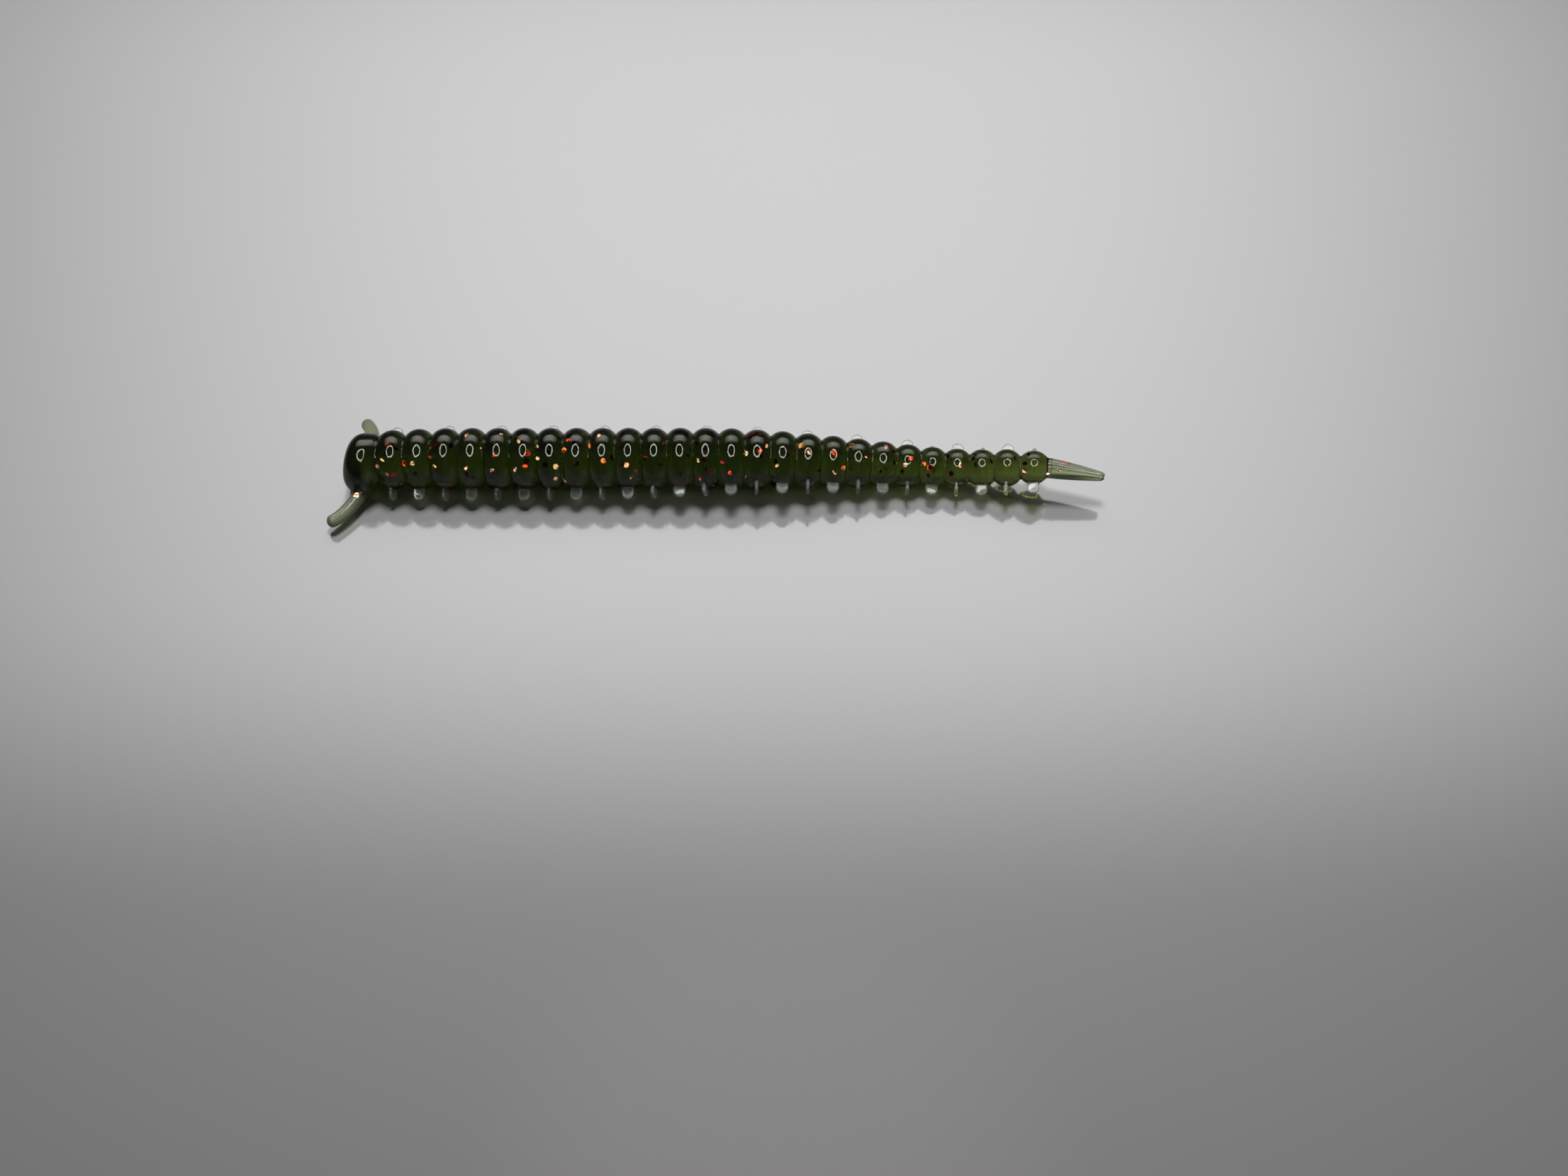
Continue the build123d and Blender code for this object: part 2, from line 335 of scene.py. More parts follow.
def clear_plastic(
    name, absorb_color, absorb_density, roughness, haze=0.0, haze_color=(1, 1, 1), shade=1.0
):
    """Clear moulded plastic that takes its colour from its depth. Its inner walls aren't seen.

    haze is the share of the light that the plastic scatters, in the haze colour, and shade is the
    depth of its shadow: a thin part lets light through, and so its shadow is a pale one.
    """
    material = bpy.data.materials.new(name)
    material.use_nodes = True
    tree = material.node_tree
    tree.nodes.clear()
    new = tree.nodes.new
    output = new("ShaderNodeOutputMaterial")
    plastic = new("ShaderNodeBsdfPrincipled")
    plastic.inputs["Base Color"].default_value = (*haze_color, 1)
    plastic.inputs["Transmission Weight"].default_value = 1.0 - haze
    plastic.inputs["IOR"].default_value = PLASTIC_IOR
    place = new("ShaderNodeTexCoord")
    grain = new("ShaderNodeTexNoise")
    grain.inputs["Scale"].default_value = GRAIN_SCALE
    grain.inputs["Detail"].default_value = GRAIN_DETAIL
    shine = new("ShaderNodeMapRange")
    shine.inputs["To Min"].default_value = roughness * GRAIN_SHINE[0]
    shine.inputs["To Max"].default_value = roughness * GRAIN_SHINE[1]
    bump = new("ShaderNodeBump")
    bump.inputs["Strength"].default_value = GRAIN_STRENGTH
    bump.inputs["Distance"].default_value = GRAIN_DEPTH
    clear = new("ShaderNodeBsdfTransparent")
    mix = new("ShaderNodeMixShader")
    wall = new("ShaderNodeAttribute")
    wall.attribute_name = "inner_wall"
    light = new("ShaderNodeLightPath")
    let_through = new("ShaderNodeMath")
    let_through.operation = "MULTIPLY"
    let_through.inputs[1].default_value = 1.0 - shade
    unseen = new("ShaderNodeMath")
    unseen.operation = "MAXIMUM"
    depth = new("ShaderNodeVolumeAbsorption")
    depth.inputs["Color"].default_value = (*absorb_color, 1)
    depth.inputs["Density"].default_value = absorb_density
    link_nodes(
        tree,
        (place.outputs["Object"], grain.inputs["Vector"]),
        (grain.outputs["Fac"], shine.inputs["Value"]),
        (shine.outputs["Result"], plastic.inputs["Roughness"]),
        (grain.outputs["Fac"], bump.inputs["Height"]),
        (bump.outputs["Normal"], plastic.inputs["Normal"]),
        (light.outputs["Is Shadow Ray"], let_through.inputs[0]),
        (let_through.outputs["Value"], unseen.inputs[0]),
        (wall.outputs["Fac"], unseen.inputs[1]),
        (unseen.outputs["Value"], mix.inputs["Fac"]),
        (plastic.outputs["BSDF"], mix.inputs[1]),
        (clear.outputs["BSDF"], mix.inputs[2]),
        (mix.outputs["Shader"], output.inputs["Surface"]),
        (depth.outputs["Volume"], output.inputs["Volume"]),
    )
    return material


def foil(name, color):
    """Metal foil of a glitter flake, faintly creased, with painted shade that darkens its colour in
    the creases.
    """
    material = bpy.data.materials.new(name)
    material.use_nodes = True
    tree = material.node_tree
    metal = tree.nodes["Principled BSDF"]
    metal.inputs["Metallic"].default_value = 1.0
    place = tree.nodes.new("ShaderNodeTexCoord")
    crease = tree.nodes.new("ShaderNodeTexNoise")
    crease.inputs["Scale"].default_value = CREASE_SCALE
    # Painted shade: the foil's colour is darker where the crease noise, which also drives the bump, is
    # low.
    shade = tree.nodes.new("ShaderNodeMix")
    shade.data_type = "RGBA"
    shade.inputs["A"].default_value = (*[CREASE_PAINTED_SHADE * part for part in color], 1)
    shade.inputs["B"].default_value = (*color, 1)
    shine = tree.nodes.new("ShaderNodeMapRange")
    shine.inputs["To Min"].default_value = FOIL_ROUGHNESS * CREASE_SHINE[0]
    shine.inputs["To Max"].default_value = FOIL_ROUGHNESS * CREASE_SHINE[1]
    bump = tree.nodes.new("ShaderNodeBump")
    bump.inputs["Strength"].default_value = 1.0
    bump.inputs["Distance"].default_value = CREASE_DEPTH
    link_nodes(
        tree,
        (place.outputs["Object"], crease.inputs["Vector"]),
        (crease.outputs["Fac"], shade.inputs["Factor"]),
        (shade.outputs["Result"], metal.inputs["Base Color"]),
        (crease.outputs["Fac"], shine.inputs["Value"]),
        (shine.outputs["Result"], metal.inputs["Roughness"]),
        (crease.outputs["Fac"], bump.inputs["Height"]),
        (bump.outputs["Normal"], metal.inputs["Normal"]),
    )
    return material


GREEN_DYE = (0.473, 0.545, 0.127)
FIN_DYE = (0.6, 0.7, 0.5)
FIN_HAZE_COLOR = (0.86, 0.88, 0.84)
green_plastic = clear_plastic("green_plastic", GREEN_DYE, 1320.0, 0.04)
pale_plastic = clear_plastic(
    "pale_plastic", GREEN_DYE, 620.0, 0.16, haze=0.3, haze_color=(0.34, 0.38, 0.27), shade=0.85
)
front_fin_plastic, rear_fin_plastic = [
    clear_plastic(name, FIN_DYE, 200.0, 0.08, haze=0.08, haze_color=FIN_HAZE_COLOR, shade=shade)
    for name, shade in (("front_fin_plastic", 1.0), ("rear_fin_plastic", 0.4))
]
FOIL_COLORS = {
    "copper": (0.85, 0.36, 0.22),
    "gold": (0.80, 0.48, 0.24),
    "red": (0.80, 0.05, 0.02),
    "orange": (0.85, 0.17, 0.04),
    "pink": (0.72, 0.34, 0.30),
    "dark": (0.28, 0.02, 0.02),
    "silver": (0.85, 0.74, 0.74),
}
foils = {name: foil(f"foil_{name}", color) for name, color in FOIL_COLORS.items()}


# ---- skin pieces ----
def head_frame(x):
    """Centre and direction of the head's section at x: its front is turned up and to the right."""
    ahead = max(HEAD_CREST - x, 0.0) / HEAD_CREST
    turn = math.radians(NOSE_TURN_DEG) * ahead
    rise = 0.5 * turn * ahead * HEAD_CREST
    rise -= 2 * HEAD_FULLNESS * smooth(HEAD_END - x)
    along = Vector((math.cos(turn), 0, 0)) - HIGH_RIGHT * math.sin(turn)
    return mm(x, 0, 0) + HIGH_RIGHT * rise * MM, along


def head_sections():
    radius = crest_radius(1) / MM
    face = radius - NOSE_EDGE_RADIUS
    profile = [(NOSE_START, face * share) for share in NOSE_FACE_SHARES]
    for step in range(17):
        turn = math.radians(90.0 * step / 16)
        x = NOSE_START + NOSE_EDGE_RADIUS * (1 - math.cos(turn))
        profile.append((x, face + NOSE_EDGE_RADIUS * math.sin(turn)))
    steps = 12
    end = HEAD_END - WALL_GAP
    places = [HEAD_CREST + (end - HEAD_CREST) * step / steps for step in range(steps + 1)]
    for x in places[:-1] + [end - FIRST_STEP, end]:
        profile.append((x, bead_radius(1, (x - HEAD_CREST) * MM) / MM))
    sections = []
    for x, r in profile:
        centre, along = head_frame(x)
        full = HEAD_FULLNESS * smooth(HEAD_END - x)
        sections.append(section(centre, along, (r + full) * MM))
    return sections


def bend_ends(ring):
    """Where the bending piece behind a bead starts and ends on the axis."""
    start = mm(HEAD_END, 0, 0) if ring == 1 else crest_centre(ring)
    return start, crest_centre(ring + 1)


def bend_sections(ring):
    start, end = bend_ends(ring)
    groove = grooves[ring]
    length = (end - start).length
    half = [share * 0.5 for share in crest_to_groove()]
    gap = WALL_GAP * MM / length
    first = gap + FIRST_STEP * MM / length
    shares = [gap, first] + half[:-1] + [0.5] + [1 - share for share in half[-2::-1]]
    shares += [1 - first, 1 - gap]
    sections = []
    for t in shares:
        centre = curve_point(start, groove, end, t)
        along = curve_direction(start, groove, end, t)
        sections.append(section(centre, along, bend_radius(ring, centre)))
    return sections


def tail_axis():
    return (mm(*TAIL_TIP) - tail_root).normalized()


def tail_size(share):
    """Half width and half height of the whole tail at a share of its length."""
    width = TAIL_ROOT_HALF[0] - (TAIL_ROOT_HALF[0] - TAIL_TIP_HALF[0]) * share ** TAIL_TAPER_POWERS[0]
    height = TAIL_ROOT_HALF[1] - (TAIL_ROOT_HALF[1] - TAIL_TIP_HALF[1]) * share ** TAIL_TAPER_POWERS[1]
    return width * MM, height * MM


def ellipse_radius(width, height, angle):
    return width * height / math.hypot(height * math.cos(angle), width * math.sin(angle))


def tail_base_sections():
    """The rear half of the last bead, running out into the root of the tail."""
    start = crest_centre(LAST)
    end = tail_root + tail_axis() * TAIL_STUB * MM
    width, height = tail_size(0.0)
    total = (end - start).length
    gap = WALL_GAP * MM / total
    first = gap + FIRST_STEP * MM / total
    steps = 22
    shares = [gap, first] + [step / steps for step in range(1, steps)] + [1 - first, 1 - gap]
    sections = []
    for t in shares:
        centre = curve_point(start, tail_root, end, t)
        along = curve_direction(start, tail_root, end, t)
        away = (centre - start).length
        bead = bead_radius(LAST, away)
        into_tail = smooth((away / MM - TAIL_STUB_ALONE[0]) / TAIL_STUB_ALONE[1])

        def radius(angle):
            stub = ellipse_radius(width, height, angle)
            grown = stub * smooth(away / (TAIL_STUB_GROWTH * MM))
            joined = soft_max(bead, grown, TAIL_STUB_FILLET * MM)
            return joined + (stub - joined) * into_tail

        sections.append(section(centre, along, radius))
    return sections


def prong_sections(level):
    """One prong of the fork: half of the tail, rounding off towards its tip."""
    axis = tail_axis()
    side, up = across(axis)
    start = tail_root + axis * TAIL_STUB * MM
    length = (mm(*TAIL_TIP) - start).length
    rounding = TAIL_TIP_ROUNDING * MM
    straight = length - rounding
    places = [WALL_GAP * MM] + [straight * step / 18 for step in range(1, 19)]
    places += [straight + rounding * math.sin(math.radians(9 * step)) for step in range(1, 10)]
    sections = []
    for place in places:
        share = place / length
        width, top = tail_size(share)
        slot = TAIL_SLOT_HALF * MM * smooth(share / TAIL_SLOT_OPENS)
        belly = TAIL_TIP_BELLY * MM * smooth(share)
        middle = slot + belly
        past = max(place - straight, 0.0) / rounding
        close = math.sqrt(max(1.0 - past**2, 0.0))
        centre_height = 0.5 * (top + slot)
        points = []
        for step in range(64):
            angle = 2 * math.pi * step / 64
            reach = (top - middle) if math.sin(angle) > 0 else belly
            height = middle + reach * math.sin(angle)
            height = centre_height + (height - centre_height) * close
            sideways = width * math.cos(angle) * close
            centre = start + axis * place + side * sideways + up * (height * level)
            points.append(settle(centre, up * level))
        sections.append(points)
    tip = start + axis * length + up * (centre_height * level)
    return sections, tip


def antenna_line(name):
    middle, tip = (mm(*point) for point in ANTENNA_POINTS[name])
    root = joint_at[f"antenna_{name}_flex"]
    return root, middle * 2 - (root + tip) / 2, tip


def antenna_sections(name):
    root, bend, tip = antenna_line(name)
    length = (bend - root).length + (tip - bend).length
    sink = ANTENNA_SINK * MM
    tip_radius = ANTENNA_TIP_RADIUS * MM
    rounding = tip_radius / length
    shares = [step / 24 * (1 - rounding) for step in range(25)]
    places = [(share, 1.0) for share in shares]
    for step in range(1, 10):
        turn = math.radians(9.5 * step)
        places.append((1 - rounding + rounding * math.sin(turn), math.cos(turn)))
    sections = []
    first_way = curve_direction(root, bend, tip, 0)
    for sunk in (sink, sink / 2):
        radius = (ANTENNA_ROOT_RADIUS + ANTENNA_FLARE) * MM
        sections.append(section(root - first_way * sunk, first_way, radius, ANTENNA_SECTION_POINTS))
    for share, close in places:
        flare = ANTENNA_FLARE * math.exp(-share * length / (ANTENNA_FLARE_LENGTH * MM))
        radius = ANTENNA_ROOT_RADIUS + (ANTENNA_TIP_RADIUS - ANTENNA_ROOT_RADIUS) * share
        centre = curve_point(root, bend, tip, share)
        along = curve_direction(root, bend, tip, share)
        reach = (radius + flare) * close * MM
        sections.append(section(centre, along, reach, ANTENNA_SECTION_POINTS))
    return sections, tip


def inside_head(point):
    return math.hypot(point.y, point.z) < crest_radius(1) - ANTENNA_HIDDEN * MM


def make_skin():
    nose = head_frame(NOSE_START)[0]
    head = skin("skin_head", head_sections(), green_plastic, tips=(nose, None))
    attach(head, "head")
    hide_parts("head")
    for ring in range(1, LAST):
        piece = skin(f"skin_bend_{ring:02d}", bend_sections(ring), green_plastic)
        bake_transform(piece)
        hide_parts(body_name(ring + 1))
    base = skin("skin_tail_base", tail_base_sections(), green_plastic)
    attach(base, body_name(LAST))
    for name, level in (("tail_upper", 1), ("tail_lower", -1)):
        sections, tip = prong_sections(level)
        prong = skin(f"skin_{name}", sections, pale_plastic, tips=(None, tip))
        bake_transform(prong)
        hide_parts(name)
    for name in ANTENNA_POINTS:
        sections, tip = antenna_sections(name)
        antenna = skin(f"skin_antenna_{name}", sections, pale_plastic, (None, tip), inside_head)
        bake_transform(antenna)
        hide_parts(f"antenna_{name}")


# ---- fins ----
def left_fin_droop(ring):
    """Angle of a left fin below the horizontal; the soft body is slightly twisted."""
    place = min(max(ring, FIN_DROOP_PEAK_RING), FIN_DROOP_REAR_RING)
    turn = math.pi * (place - FIN_DROOP_PEAK_RING) / 12.0
    return FIN_DROOP_MEAN_DEG + FIN_DROOP_SWING_DEG * math.cos(turn)


def fin_outline(reach, half_width, start):
    """The rounded tab's outline in its own plane, from one root corner to the other."""
    points = [(start + (reach - start) * step / 4, -half_width) for step in range(4)]
    for step in range(17):
        turn = math.radians(-90 + 180 * step / 16)
        points.append((reach + half_width * math.cos(turn), half_width * math.sin(turn)))
    points += [(reach - (reach - start) * step / 4, half_width) for step in range(1, 5)]
    return points


def add_fin(bm, inner, ring, side):
    axis = bead_axis(ring)
    centre = crest_centre(ring)
    level, up = across(axis)
    outward = level * side
    lies_flat = (ring % 2 == 1) == (side < 0)
    right_rise = RIGHT_FLAT_FIN_RISE_DEG if lies_flat else RIGHT_UPRIGHT_FIN_RISE_DEG
    rise = math.radians(right_rise if side > 0 else -left_fin_droop(ring))
    outward = outward * math.cos(rise) + up * math.sin(rise)
    flat = outward.cross(axis)
    width_way, thin_way = (axis, flat) if lies_flat else (flat, axis)
    if side < 0 and not lies_flat and ring <= FRONT_FIN_RINGS:
        twist = Matrix.Rotation(math.radians(FRONT_FIN_TURN_DEG), 3, outward)
        width_way, thin_way = twist @ width_way, twist @ thin_way
    radius = crest_radius(ring) / MM
    start = radius - FIN_ROOT_DEPTH
    reach = radius + FIN_REACH - FIN_WIDTH / 2
    edge_steps = 6
    loops = []
    for step in range(2 * edge_steps + 1):
        turn = math.radians(-90 + 180 * step / (2 * edge_steps))
        inset = FIN_EDGE_RADIUS * (1 - math.cos(turn))
        height = FIN_EDGE_RADIUS * math.sin(turn)
        height += math.copysign(FIN_THICKNESS / 2 - FIN_EDGE_RADIUS, height) if height else 0.0
        loop = []
        for x, y in fin_outline(reach, FIN_WIDTH / 2 - inset, start):
            point = centre + outward * x * MM + width_way * y * MM + thin_way * height * MM
            loop.append(bm.verts.new(point))
        loops.append(loop)
    count = len(loops[0])
    faces = []
    for low, high in zip(loops, loops[1:]):
        for i in range(count):
            j = (i + 1) % count
            faces.append(bm.faces.new((low[i], low[j], high[j], high[i])))
    faces.append(bm.faces.new(loops[0]))
    faces.append(bm.faces.new(loops[-1]))
    for face in faces:
        face.smooth = True
        middle = face.calc_center_median() - centre
        if (middle - axis * middle.dot(axis)).length < crest_radius(ring) - 0.12 * MM:
            face[inner] = 1.0


def make_fins():
    for ring in range(2, LAST + 1):
        bm = bmesh.new()
        inner = bm.faces.layers.float.new("inner_wall")
        for side in (-1, 1):
            add_fin(bm, inner, ring, side)
        plastic = front_fin_plastic if ring < CLEAR_SHADOW_RING else rear_fin_plastic
        piece = link(f"side_fins_{ring:02d}", bm, plastic)
        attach(piece, body_name(ring))
        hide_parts(f"fins_{ring:02d}")


# ---- glitter ----
# Flakes that show at the surface: bead and share of its length, degrees up from the left side, foil.
SEEN_FLAKES = [
    (1.20, 60, "gold"), (2.31, 49, "gold"), (2.12, 34, "pink"), (2.45, 20, "copper"),
    (3.03, 41, "red"), (3.42, 42, "gold"), (4.06, 76, "orange"), (4.10, 55, "red"),
    (4.20, 35, "gold"), (5.03, 89, "dark"), (5.37, 104, "copper"), (5.43, 32, "copper"),
    (5.97, 76, "gold"), (6.50, 57, "red"), (6.37, 27, "pink"), (6.74, 106, "pink"),
    (7.36, 85, "gold"), (7.83, 69, "gold"), (8.06, 78, "gold"), (8.06, 51, "gold"),
    (7.64, 36, "red"), (7.22, 28, "pink"), (8.81, 34, "gold"), (8.78, 7, "pink"),
    (9.08, -6, "pink"), (9.26, 89, "red"), (9.06, 69, "orange"), (10.03, 79, "orange"),
    (10.40, 100, "gold"), (10.62, 46, "orange"), (11.30, 38, "dark"), (11.49, 38, "copper"),
    (11.89, 24, "dark"), (11.70, 12, "pink"), (12.94, 84, "dark"), (13.87, 57, "dark"),
    (14.20, 47, "gold"), (14.25, 90, "dark"), (14.68, 27, "dark"), (14.28, 9, "red"),
    (15.15, 44, "dark"), (15.46, 23, "red"), (16.03, 10, "pink"), (16.06, 63, "gold"),
    (16.89, 81, "copper"), (16.60, 67, "red"), (17.19, 47, "dark"), (17.25, 38, "gold"),
    (18.47, 68, "copper"), (19.49, 71, "red"), (19.89, 37, "orange"), (19.55, 26, "pink"),
    (20.78, 68, "copper"), (21.36, 31, "dark"), (21.57, 103, "pink"), (22.60, 72, "red"),
    (22.37, 53, "pink"), (22.23, 33, "dark"), (23.12, 63, "orange"), (23.38, 49, "dark"),
    (24.23, 86, "dark"), (24.66, 59, "pink"), (24.66, 5, "dark"), (25.14, 89, "dark"),
    (25.60, 114, "dark"), (25.93, 77, "dark"), (26.89, 88, "dark"), (27.18, 32, "pink"),
]
# Flakes in the tail: distance behind its root, degrees up from the left side, foil.
TAIL_FLAKES = [(0.25, 20, "pink"), (0.75, 55, "silver"), (1.3, 50, "pink"), (1.45, 98, "red"),
               (2.1, 98, "dark")]
INNER_FLAKES = ["dark", "dark", "red", "red", "copper", "pink", "dark"]
GLINT_LIGHT_DEG = 83         # the lamp over the worm, seen from the left side
GLINT_LAMP_RADIUS_DEG = 23
GLINT_EYE_DEG = 49
GLINT_SPREAD = 0.045         # how far the flakes' tilt strays from a full glint
DULL_FOILS = ("red", "dark")     # tail flakes of these foils lie flat under the skin
DARK_LEAN = 0.6              # how far a dark flake's tilt strays from the skin's, each way
SEEN_FLAKE_DEPTH = 0.12      # where a flake's depth starts; it sinks until it is clear of the skin
FLAKE_DEPTH_STEP = 0.04
FLAKE_DEEPEST = 2.6
FLAKE_CLEARANCE = 0.05
FULL_SPIN = 6.28
INNER_ANGLES_DEG = (-95, 195)    # the deeper flakes' angles up from the left side
INNER_DEPTHS = (0.2, 1.3)
WIDE_RING = 8                # a bead of full width, which has the most flakes
TAIL_FLAKE_DEPTH = 0.02
TAIL_FLAKE_NARROW = 0.6      # width of a flake as a share of its length
HEAD_FLAKE_DEPTH = 0.75
HEAD_FLAKE_NORMAL = Vector((0.15, -0.3, 0.9))
HEAD_FLAKE_SPIN = 0.4
HEAD_FLAKE_NARROW = 0.35
ANTENNA_FLAKE_DEG = 65
ANTENNA_FLAKE_SHARE = 0.2    # of the way from the antenna's root to its tip
ANTENNA_FLAKE_SIZE = 1.3 * GLITTER_SIZE
ANTENNA_FLAKE_SPIN = 0.3
ANTENNA_FLAKE_NARROW = 0.65


def left_side(degrees):
    """Direction at an angle up from the worm's left side."""
    turn = math.radians(degrees)
    return Vector((0, -math.cos(turn), math.sin(turn)))


def bent_in(way, normal):
    """A direction outside the plastic as it runs inside, under a surface with that normal."""
    slid = (way - normal * way.dot(normal)) / PLASTIC_IOR
    return slid + normal * math.sqrt(1 - slid.length_squared)


def add_flake(bm, centre, normal, size, spin, number, narrow=1.0):
    """A six-sided foil plate, which may be narrower across."""
    first = normal.orthogonal().normalized()
    turn = Matrix.Rotation(spin, 3, normal)
    first = turn @ first
    second = normal.cross(first)
    sheets = []
    for level in (-0.5, 0.5):
        sheet = []
        for corner in range(6):
            angle = math.pi * corner / 3
            way = first * math.cos(angle) + second * math.sin(angle) * narrow
            place = centre + way * size / 2 + normal * (level * GLITTER_THICKNESS * MM)
            sheet.append(bm.verts.new(place))
        sheets.append(sheet)
    faces = [bm.faces.new(sheets[0][::-1]), bm.faces.new(sheets[1])]
    for i in range(6):
        j = (i + 1) % 6
        faces.append(bm.faces.new((sheets[0][i], sheets[0][j], sheets[1][j], sheets[1][i])))
    for face in faces:
        face.material_index = number


def body_radius_at(x):
    """Segment number, axis point, axis direction and skin radius at a place along the worm."""
    for ring in range(1, LAST):
        start, end = bend_ends(ring)
        if x <= end.x or ring == LAST - 1:
            break
    t = min(max((x - start.x) / (end.x - start.x), 0.0), 1.0)
    centre = curve_point(start, grooves[ring], end, t)
    return ring, centre, curve_direction(start, grooves[ring], end, t), bend_radius(ring, centre)


def surface(x, angle_deg):
    """Point and normal of the skin at a place along the worm and an angle from its left side."""
    step = 0.02 * MM
    _, centre, along, radius = body_radius_at(x)
    ahead = body_radius_at(x + step)[3]
    behind = body_radius_at(x - step)[3]
    slope = (ahead - behind) / (2 * step)
    side, up = across(along)
    turn = math.radians(angle_deg)
    outward = -side * math.cos(turn) + up * math.sin(turn)
    return centre + outward * radius, (outward - along * slope).normalized()


def corners_clear(centre, normal, size):
    """How far inside the skin a flake's worst corner is."""
    first = normal.orthogonal().normalized()
    second = normal.cross(first)
    worst = 1.0
    for corner in range(12):
        angle = math.pi * corner / 6
        place = centre + (first * math.cos(angle) + second * math.sin(angle)) * size / 2
        _, axis_point, along, radius = body_radius_at(place.x)
        out = place - axis_point
        out -= along * out.dot(along)
        worst = min(worst, radius - out.length, place.z - table_z)
    return worst


def glint_normal(out=None):
    """Tilt of a flake that mirrors the lamp to the eye, under a surface with normal out if given."""
    eye = left_side(GLINT_EYE_DEG)
    around = rng.uniform(0, 2 * math.pi)
    width = math.tan(math.radians(GLINT_LAMP_RADIUS_DEG))
    lamp = left_side(GLINT_LIGHT_DEG) + Vector((math.cos(around), 0, 0)) * width
    lamp += left_side(GLINT_LIGHT_DEG + 90) * math.sin(around) * width
    lamp.normalize()
    if out:
        eye, lamp = bent_in(eye, out), bent_in(lamp, out)
    return (eye + lamp).normalized()


def add_foils(piece, names):
    for name in names[1:]:
        piece.data.materials.append(foils[name])


def add_tail_flakes(names):
    bm = bmesh.new()
    axis = tail_axis()
    side, up = across(axis)
    for distance, angle, color in TAIL_FLAKES:
        width, height = tail_size(max(distance - TAIL_STUB, 0.0) / TAIL_LENGTH)
        turn = math.radians(angle)
        out = -side * math.cos(turn) + up * math.sin(turn)
        reach = ellipse_radius(width, height, turn) - TAIL_FLAKE_DEPTH * MM
        normal = out if color in DULL_FOILS else glint_normal()
        size = GLITTER_SIZE * MM * rng.uniform(0.7, 1.0)
        centre = tail_root + axis * distance * MM + out * reach
        add_flake(bm, centre, normal, size, 0.0, names.index(color), TAIL_FLAKE_NARROW)
    piece = link("glitter_tail", bm, foils[names[0]])
    add_foils(piece, names)
    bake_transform(piece)


def add_antenna_flake(names):
    """A bright flake near the root of the left antenna."""
    bm = bmesh.new()
    root, bend, tip = antenna_line("left")
    out = left_side(ANTENNA_FLAKE_DEG)
    centre = curve_point(root, bend, tip, ANTENNA_FLAKE_SHARE) + out * ANTENNA_ROOT_RADIUS * MM
    size = ANTENNA_FLAKE_SIZE * MM
    number = names.index("copper")
    add_flake(bm, centre, glint_normal(), size, ANTENNA_FLAKE_SPIN, number, ANTENNA_FLAKE_NARROW)
    piece = link("glitter_antenna", bm, foils[names[0]])
    add_foils(piece, names)
    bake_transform(piece)


def place_in_body(number):
    """X of a place given as a bead and a share of its length."""
    ring = int(number)
    start = 0.0 if ring == 1 else grooves[ring - 1].x
    end = tail_root.x if ring == LAST else grooves[ring].x
    return start + (end - start) * (number - ring)


def make_glitter():
    names = list(foils)
    beds = {}

    def bed(ring):
        if ring not in beds:
            beds[ring] = bmesh.new()
        return beds[ring]

    def sink(x, angle, normal, size, depth):
        point, out = surface(x, angle)
        while depth < FLAKE_DEEPEST * MM:
            centre = point - out * depth
            if corners_clear(centre, normal, size) > FLAKE_CLEARANCE * MM:
                return centre
            depth += FLAKE_DEPTH_STEP * MM
        return None

    add_tail_flakes(names)
    add_antenna_flake(names)
    for place, angle, color in SEEN_FLAKES:
        x = place_in_body(place)
        size = GLITTER_SIZE * MM * rng.uniform(0.7, 1.02)
        narrow = rng.uniform(0.4, 1.0)
        if x < HEAD_END * MM:
            out = left_side(angle)
            centre = mm(x / MM, 0, 0) + out * (crest_radius(1) - HEAD_FLAKE_DEPTH * MM)
            normal = HEAD_FLAKE_NORMAL.normalized()
            number = names.index(color)
            add_flake(bed(0), centre, normal, size, HEAD_FLAKE_SPIN, number, HEAD_FLAKE_NARROW)
            continue
        out = surface(x, angle)[1]
        if color == "dark":
            lean = Vector([rng.uniform(-DARK_LEAN, DARK_LEAN) for _ in range(3)])
            normal = (out + lean).normalized()
        else:
            normal = glint_normal(out)
            normal += Vector([rng.gauss(0, GLINT_SPREAD) for _ in range(3)])
            normal.normalize()
        centre = sink(x, angle, normal, size, SEEN_FLAKE_DEPTH * MM)
        if centre is not None:
            ring = body_radius_at(centre.x)[0]
            spin = rng.uniform(0, FULL_SPIN)
            add_flake(bed(ring), centre, normal, size, spin, names.index(color), narrow)
    for ring in range(1, LAST):
        start, end = bend_ends(ring)
        share = (crest_radius(ring) / crest_radius(WIDE_RING)) ** 2
        for _ in range(round(GLITTER_PER_BEAD * share)):
            x = rng.uniform(start.x, end.x)
            angle = rng.uniform(*INNER_ANGLES_DEG)
            depth = rng.uniform(*INNER_DEPTHS) * MM * share
            normal = Vector([rng.gauss(0, 1) for _ in range(3)]).normalized()
            size = GLITTER_SIZE * MM * rng.uniform(0.7, 1.0)
            color = rng.choice(INNER_FLAKES)
            spin = rng.uniform(0, FULL_SPIN)
            centre = sink(x, angle, normal, size, depth)
            if centre is not None:
                add_flake(bed(ring), centre, normal, size, spin, names.index(color))
    for ring, bm in sorted(beds.items()):
        piece = link(f"glitter_{ring:02d}", bm, foils[names[0]])
        add_foils(piece, names)
        if ring == 0:
            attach(piece, "head")
        else:
            start, end = bend_ends(ring)
            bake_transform(piece)


